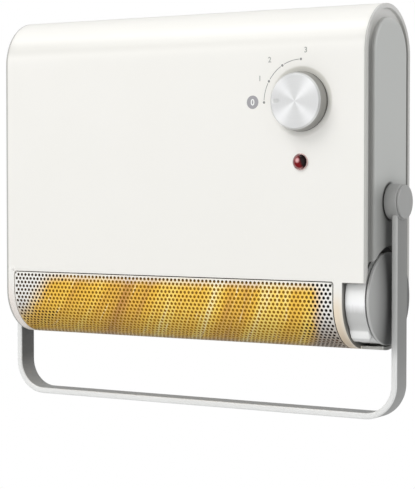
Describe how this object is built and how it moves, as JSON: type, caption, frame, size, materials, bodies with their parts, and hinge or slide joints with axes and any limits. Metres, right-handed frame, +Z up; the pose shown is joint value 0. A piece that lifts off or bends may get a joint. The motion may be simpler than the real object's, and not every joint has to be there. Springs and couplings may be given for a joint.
{
  "type": "bathroom wall fan heater",
  "caption": "Wall-hung bathroom fan heater with a curved perforated outlet, a rotary dial, a thumb drum for the air guide and a swinging flat towel rail.",
  "frame": {"origin": "on the wall plane, at the middle of the casing width and height", "axes": "+X along the heater to the dial side, +Y into the wall, +Z up"},
  "size_m": [0.4834, 0.113, 0.4162],
  "materials": {
    "shell_white": "satin warm white moulded plastic",
    "housing_white": "matt warm white moulded plastic",
    "cover_grey": "fine satin grey moulded plastic",
    "disc_grey": "satin dark grey moulded plastic",
    "grille_sheet": "perforated silver painted sheet",
    "drum_silver": "silver lacquered plastic",
    "rail_grey": "satin grey powder coat",
    "knob_metal": "spun aluminium cap",
    "steel": "bright zinc plated steel",
    "black_plastic": "black moulded plastic",
    "white_plastic": "white moulded plastic",
    "black_rubber": "black rubber",
    "brass": "plain brass",
    "copper": "enamelled copper winding",
    "lamination": "stacked electrical sheet",
    "mica": "mica board",
    "ribbon": "oxidised resistance strip",
    "lens_red": "glossy red moulded lens",
    "lamp_glass": "neon lamp glass",
    "bezel": "grey brown bezel"
  },
  "bodies": {
    "heater": {"front_shell": "shell_white", "rear_housing": "housing_white", "right_side_cover": "cover_grey", "left_side_cover": "cover_grey", "outlet_grille": "grille_sheet", "rotary_switch": "black_plastic", "switch_nut": "brass", "indicator_bezel": "bezel", "indicator_lens": "lens_red", "indicator_lamp": "lamp_glass", "left_fan_plate": "steel", "motor_plate": "steel", "bearing_bush": "brass", "motor_stator": "lamination", "motor_coil": "copper", "motor_front_bracket": "steel", "motor_rear_bracket": "steel", "motor_screw_1": "steel", "motor_screw_2": "steel", "fan_scroll": "steel", "fan_tongue": "steel", "outlet_chute": "steel", "heater_frame": "mica", "front_heating_ribbon": "ribbon", "rear_heating_ribbon": "ribbon", "thermal_cutout": "black_plastic", "wall_bracket": "steel", "right_wall_bumper": "black_rubber", "left_wall_bumper": "black_rubber", "cable_grommet": "black_rubber", "cable_clamp": "white_plastic", "terminal_block": "white_plastic", "case_screw_1": "steel", "case_screw_2": "steel", "case_screw_3": "steel", "case_screw_4": "steel"},
    "towel_rail_assembly": {"towel_rail": "rail_grey", "right_pivot_hub": "rail_grey", "right_hub_cap": "rail_grey", "right_pivot_pin": "steel", "right_pivot_washer": "steel", "right_pivot_nut": "steel", "left_pivot_hub": "rail_grey", "left_hub_cap": "rail_grey", "left_pivot_pin": "steel", "left_pivot_washer": "steel", "left_pivot_nut": "steel"},
    "air_guide": {"guide_drum": "drum_silver", "drum_end_disc": "disc_grey", "guide_shaft": "steel", "guide_vane": "drum_silver"},
    "dial": {"control_knob": "knob_metal", "switch_spindle": "steel"},
    "fan": {"fan_impeller": "steel", "stub_shaft": "steel", "motor_shaft": "steel", "motor_rotor": "lamination"}
  },
  "joints": [
    {"name": "rail_swing", "type": "hinge", "parent": "heater", "child": "towel_rail_assembly", "pos_m": [0, -0.05, -0.0244], "axis": [-1, 0, 0], "range_deg": [0, 180]},
    {"name": "air_guide_turn", "type": "hinge", "parent": "heater", "child": "air_guide", "pos_m": [0.208, -0.05, -0.1215], "axis": [-1, 0, 0], "range_deg": [-15, 45]},
    {"name": "dial_turn", "type": "hinge", "parent": "heater", "child": "dial", "pos_m": [0.1496, -0.1, 0.0753], "axis": [0, 1, 0], "range_deg": [0, 90]},
    {"name": "fan_spin", "type": "hinge", "parent": "heater", "child": "fan", "pos_m": [0, -0.052, -0.032], "axis": [1, 0, 0], "continuous": true}
  ]
}
